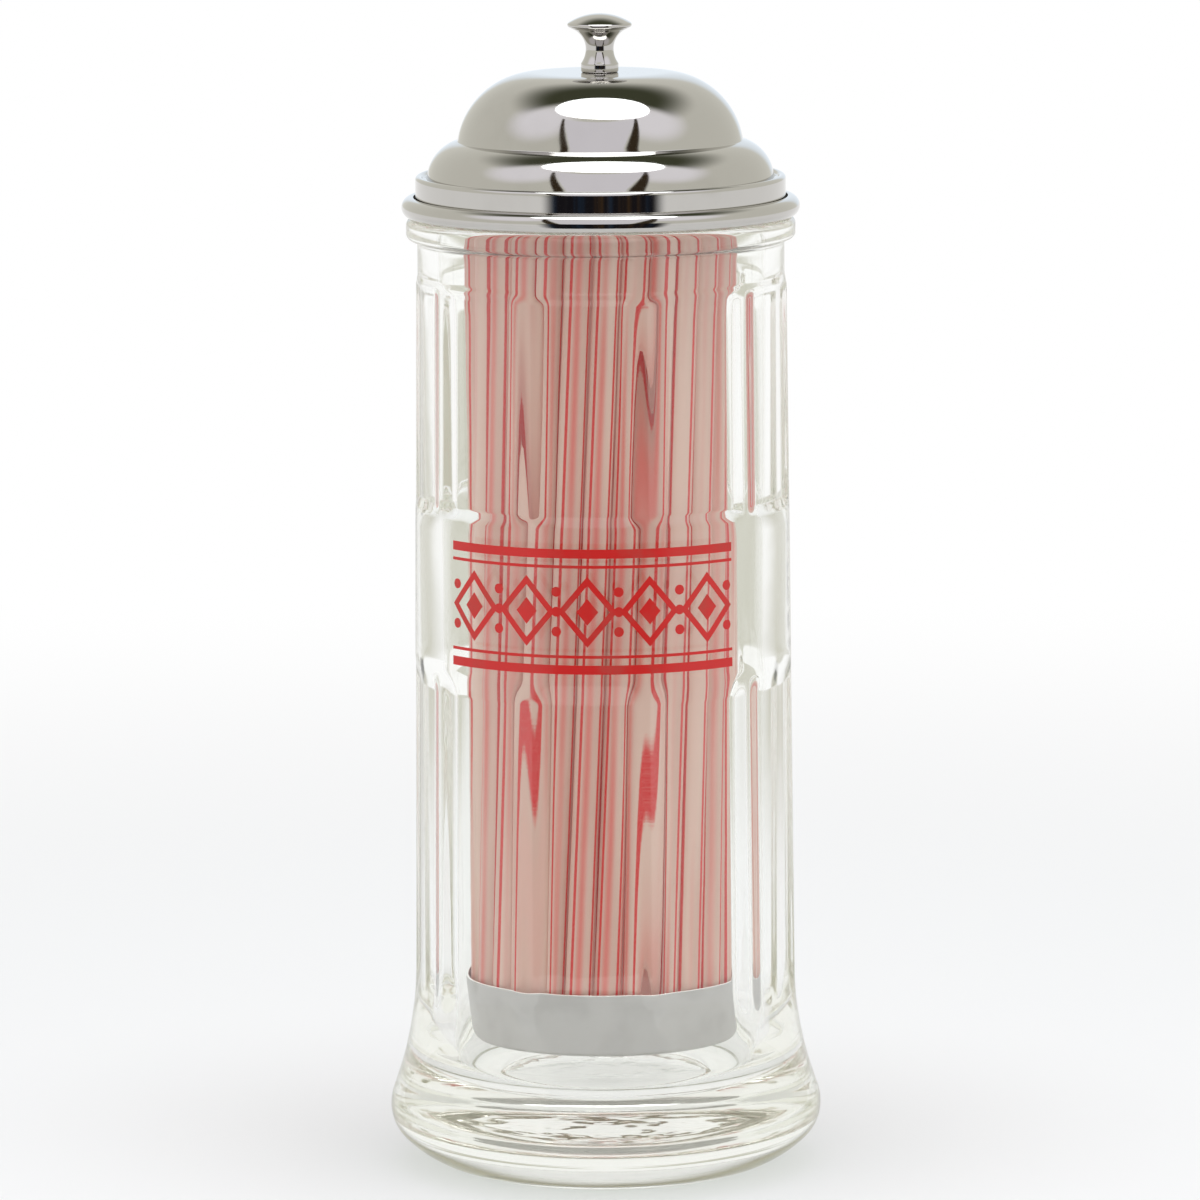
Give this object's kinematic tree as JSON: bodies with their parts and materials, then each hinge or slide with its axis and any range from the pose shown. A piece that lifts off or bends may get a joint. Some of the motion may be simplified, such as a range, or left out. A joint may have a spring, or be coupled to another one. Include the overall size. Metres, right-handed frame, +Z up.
{
  "type": "straw dispenser",
  "caption": "Glass jar with shallow flutes and a flared foot; a stepped metal lid with a knob lifts a cup of straws out on a hidden rod.",
  "frame": {"origin": "middle of the foot on the surface that the jar stands on", "axes": "+Z up along the jar and the rod, -Y towards the front of the picture, +X to its right"},
  "size_m": [0.1016, 0.1016, 0.2713],
  "materials": {
    "clear_glass": "clear pressed glass, polished",
    "bright_lid_metal": "bright chrome plate",
    "satin_steel": "satin stainless steel",
    "plain_steel": "plain zinc-plated steel",
    "straw_plastic": "thin translucent white plastic with fine red stripes"
  },
  "bodies": {
    "jar": {"glass_jar": "clear_glass"},
    "lid": {"lid_shell": "bright_lid_metal"},
    "carrier": {"lid_knob": "bright_lid_metal", "lid_washer": "plain_steel", "lid_nut": "plain_steel", "lift_rod": "plain_steel", "straw_cup": "satin_steel", "cup_upper_washer": "plain_steel", "cup_upper_nut": "plain_steel", "cup_lower_washer": "plain_steel", "cup_lower_nut": "plain_steel", "straws_second_ring": "straw_plastic", "straws_third_ring": "straw_plastic", "straws_inner_ring": "straw_plastic"},
    "straw_01": {"straw_01": "straw_plastic"},
    "straw_02": {"straw_02": "straw_plastic"},
    "straw_03": {"straw_03": "straw_plastic"},
    "straw_04": {"straw_04": "straw_plastic"},
    "straw_05": {"straw_05": "straw_plastic"},
    "straw_06": {"straw_06": "straw_plastic"},
    "straw_07": {"straw_07": "straw_plastic"},
    "straw_08": {"straw_08": "straw_plastic"},
    "straw_09": {"straw_09": "straw_plastic"},
    "straw_10": {"straw_10": "straw_plastic"},
    "straw_11": {"straw_11": "straw_plastic"},
    "straw_12": {"straw_12": "straw_plastic"},
    "straw_13": {"straw_13": "straw_plastic"},
    "straw_14": {"straw_14": "straw_plastic"},
    "straw_15": {"straw_15": "straw_plastic"},
    "straw_16": {"straw_16": "straw_plastic"},
    "straw_17": {"straw_17": "straw_plastic"},
    "straw_18": {"straw_18": "straw_plastic"},
    "straw_19": {"straw_19": "straw_plastic"},
    "straw_20": {"straw_20": "straw_plastic"},
    "straw_21": {"straw_21": "straw_plastic"},
    "straw_22": {"straw_22": "straw_plastic"},
    "straw_23": {"straw_23": "straw_plastic"},
    "straw_24": {"straw_24": "straw_plastic"},
    "straw_25": {"straw_25": "straw_plastic"},
    "straw_26": {"straw_26": "straw_plastic"},
    "straw_27": {"straw_27": "straw_plastic"},
    "straw_28": {"straw_28": "straw_plastic"}
  },
  "joints": [
    {"name": "lid_lift", "type": "slide", "parent": "jar", "child": "lid", "axis": [0, 0, 1], "range_m": [0, 0.205]},
    {"name": "carrier_turn", "type": "hinge", "parent": "lid", "child": "carrier", "pos_m": [0, 0, 0.2577], "axis": [0, 0, 1], "continuous": true},
    {"name": "straw_01_lean", "type": "hinge", "parent": "carrier", "child": "straw_01", "pos_m": [-0.00374, -0.02853, 0.044], "axis": [0.9915, -0.13, 0], "range_deg": [0, 3.2]},
    {"name": "straw_02_lean", "type": "hinge", "parent": "carrier", "child": "straw_02", "pos_m": [0.0027, -0.02865, 0.044], "axis": [0.9956, 0.0939, 0], "range_deg": [0, 3.2]},
    {"name": "straw_03_lean", "type": "hinge", "parent": "carrier", "child": "straw_03", "pos_m": [0.00901, -0.02733, 0.044], "axis": [0.9497, 0.313, 0], "range_deg": [0, 3.2]},
    {"name": "straw_04_lean", "type": "hinge", "parent": "carrier", "child": "straw_04", "pos_m": [0.01486, -0.02464, 0.044], "axis": [0.8563, 0.5165, 0], "range_deg": [0, 3.2]},
    {"name": "straw_05_lean", "type": "hinge", "parent": "carrier", "child": "straw_05", "pos_m": [0.01997, -0.02072, 0.044], "axis": [0.7199, 0.6941, 0], "range_deg": [0, 3.2]},
    {"name": "straw_06_lean", "type": "hinge", "parent": "carrier", "child": "straw_06", "pos_m": [0.02408, -0.01575, 0.044], "axis": [0.5474, 0.8369, 0], "range_deg": [0, 3.2]},
    {"name": "straw_07_lean", "type": "hinge", "parent": "carrier", "child": "straw_07", "pos_m": [0.02698, -0.01, 0.044], "axis": [0.3474, 0.9377, 0], "range_deg": [0, 3.2]},
    {"name": "straw_08_lean", "type": "hinge", "parent": "carrier", "child": "straw_08", "pos_m": [0.02853, -0.00374, 0.044], "axis": [0.13, 0.9915, 0], "range_deg": [0, 3.2]},
    {"name": "straw_09_lean", "type": "hinge", "parent": "carrier", "child": "straw_09", "pos_m": [0.02865, 0.0027, 0.044], "axis": [-0.0939, 0.9956, 0], "range_deg": [0, 3.2]},
    {"name": "straw_10_lean", "type": "hinge", "parent": "carrier", "child": "straw_10", "pos_m": [0.02733, 0.00901, 0.044], "axis": [-0.313, 0.9497, 0], "range_deg": [0, 3.2]},
    {"name": "straw_11_lean", "type": "hinge", "parent": "carrier", "child": "straw_11", "pos_m": [0.02464, 0.01486, 0.044], "axis": [-0.5165, 0.8563, 0], "range_deg": [0, 3.2]},
    {"name": "straw_12_lean", "type": "hinge", "parent": "carrier", "child": "straw_12", "pos_m": [0.02072, 0.01997, 0.044], "axis": [-0.6941, 0.7199, 0], "range_deg": [0, 3.2]},
    {"name": "straw_13_lean", "type": "hinge", "parent": "carrier", "child": "straw_13", "pos_m": [0.01575, 0.02408, 0.044], "axis": [-0.8369, 0.5474, 0], "range_deg": [0, 3.2]},
    {"name": "straw_14_lean", "type": "hinge", "parent": "carrier", "child": "straw_14", "pos_m": [0.01, 0.02698, 0.044], "axis": [-0.9377, 0.3474, 0], "range_deg": [0, 3.2]},
    {"name": "straw_15_lean", "type": "hinge", "parent": "carrier", "child": "straw_15", "pos_m": [0.00374, 0.02853, 0.044], "axis": [-0.9915, 0.13, 0], "range_deg": [0, 3.2]},
    {"name": "straw_16_lean", "type": "hinge", "parent": "carrier", "child": "straw_16", "pos_m": [-0.0027, 0.02865, 0.044], "axis": [-0.9956, -0.0939, 0], "range_deg": [0, 3.2]},
    {"name": "straw_17_lean", "type": "hinge", "parent": "carrier", "child": "straw_17", "pos_m": [-0.00901, 0.02733, 0.044], "axis": [-0.9497, -0.313, 0], "range_deg": [0, 3.2]},
    {"name": "straw_18_lean", "type": "hinge", "parent": "carrier", "child": "straw_18", "pos_m": [-0.01486, 0.02464, 0.044], "axis": [-0.8563, -0.5165, 0], "range_deg": [0, 3.2]},
    {"name": "straw_19_lean", "type": "hinge", "parent": "carrier", "child": "straw_19", "pos_m": [-0.01997, 0.02072, 0.044], "axis": [-0.7199, -0.6941, 0], "range_deg": [0, 3.2]},
    {"name": "straw_20_lean", "type": "hinge", "parent": "carrier", "child": "straw_20", "pos_m": [-0.02408, 0.01575, 0.044], "axis": [-0.5474, -0.8369, 0], "range_deg": [0, 3.2]},
    {"name": "straw_21_lean", "type": "hinge", "parent": "carrier", "child": "straw_21", "pos_m": [-0.02698, 0.01, 0.044], "axis": [-0.3474, -0.9377, 0], "range_deg": [0, 3.2]},
    {"name": "straw_22_lean", "type": "hinge", "parent": "carrier", "child": "straw_22", "pos_m": [-0.02853, 0.00374, 0.044], "axis": [-0.13, -0.9915, 0], "range_deg": [0, 3.2]},
    {"name": "straw_23_lean", "type": "hinge", "parent": "carrier", "child": "straw_23", "pos_m": [-0.02865, -0.0027, 0.044], "axis": [0.0939, -0.9956, 0], "range_deg": [0, 3.2]},
    {"name": "straw_24_lean", "type": "hinge", "parent": "carrier", "child": "straw_24", "pos_m": [-0.02733, -0.00901, 0.044], "axis": [0.313, -0.9497, 0], "range_deg": [0, 3.2]},
    {"name": "straw_25_lean", "type": "hinge", "parent": "carrier", "child": "straw_25", "pos_m": [-0.02464, -0.01486, 0.044], "axis": [0.5165, -0.8563, 0], "range_deg": [0, 3.2]},
    {"name": "straw_26_lean", "type": "hinge", "parent": "carrier", "child": "straw_26", "pos_m": [-0.02072, -0.01997, 0.044], "axis": [0.6941, -0.7199, 0], "range_deg": [0, 3.2]},
    {"name": "straw_27_lean", "type": "hinge", "parent": "carrier", "child": "straw_27", "pos_m": [-0.01575, -0.02408, 0.044], "axis": [0.8369, -0.5474, 0], "range_deg": [0, 3.2]},
    {"name": "straw_28_lean", "type": "hinge", "parent": "carrier", "child": "straw_28", "pos_m": [-0.01, -0.02698, 0.044], "axis": [0.9377, -0.3474, 0], "range_deg": [0, 3.2]}
  ],
  "couplings": [
    {"joint": "straw_01_lean", "follows": "lid_lift", "rad_per_m": 0.25541},
    {"joint": "straw_02_lean", "follows": "lid_lift", "rad_per_m": 0.25541},
    {"joint": "straw_03_lean", "follows": "lid_lift", "rad_per_m": 0.25541},
    {"joint": "straw_04_lean", "follows": "lid_lift", "rad_per_m": 0.25541},
    {"joint": "straw_05_lean", "follows": "lid_lift", "rad_per_m": 0.25541},
    {"joint": "straw_06_lean", "follows": "lid_lift", "rad_per_m": 0.25541},
    {"joint": "straw_07_lean", "follows": "lid_lift", "rad_per_m": 0.25541},
    {"joint": "straw_08_lean", "follows": "lid_lift", "rad_per_m": 0.25541},
    {"joint": "straw_09_lean", "follows": "lid_lift", "rad_per_m": 0.25541},
    {"joint": "straw_10_lean", "follows": "lid_lift", "rad_per_m": 0.25541},
    {"joint": "straw_11_lean", "follows": "lid_lift", "rad_per_m": 0.25541},
    {"joint": "straw_12_lean", "follows": "lid_lift", "rad_per_m": 0.25541},
    {"joint": "straw_13_lean", "follows": "lid_lift", "rad_per_m": 0.25541},
    {"joint": "straw_14_lean", "follows": "lid_lift", "rad_per_m": 0.25541},
    {"joint": "straw_15_lean", "follows": "lid_lift", "rad_per_m": 0.25541},
    {"joint": "straw_16_lean", "follows": "lid_lift", "rad_per_m": 0.25541},
    {"joint": "straw_17_lean", "follows": "lid_lift", "rad_per_m": 0.25541},
    {"joint": "straw_18_lean", "follows": "lid_lift", "rad_per_m": 0.25541},
    {"joint": "straw_19_lean", "follows": "lid_lift", "rad_per_m": 0.25541},
    {"joint": "straw_20_lean", "follows": "lid_lift", "rad_per_m": 0.25541},
    {"joint": "straw_21_lean", "follows": "lid_lift", "rad_per_m": 0.25541},
    {"joint": "straw_22_lean", "follows": "lid_lift", "rad_per_m": 0.25541},
    {"joint": "straw_23_lean", "follows": "lid_lift", "rad_per_m": 0.25541},
    {"joint": "straw_24_lean", "follows": "lid_lift", "rad_per_m": 0.25541},
    {"joint": "straw_25_lean", "follows": "lid_lift", "rad_per_m": 0.25541},
    {"joint": "straw_26_lean", "follows": "lid_lift", "rad_per_m": 0.25541},
    {"joint": "straw_27_lean", "follows": "lid_lift", "rad_per_m": 0.25541},
    {"joint": "straw_28_lean", "follows": "lid_lift", "rad_per_m": 0.25541}
  ]
}
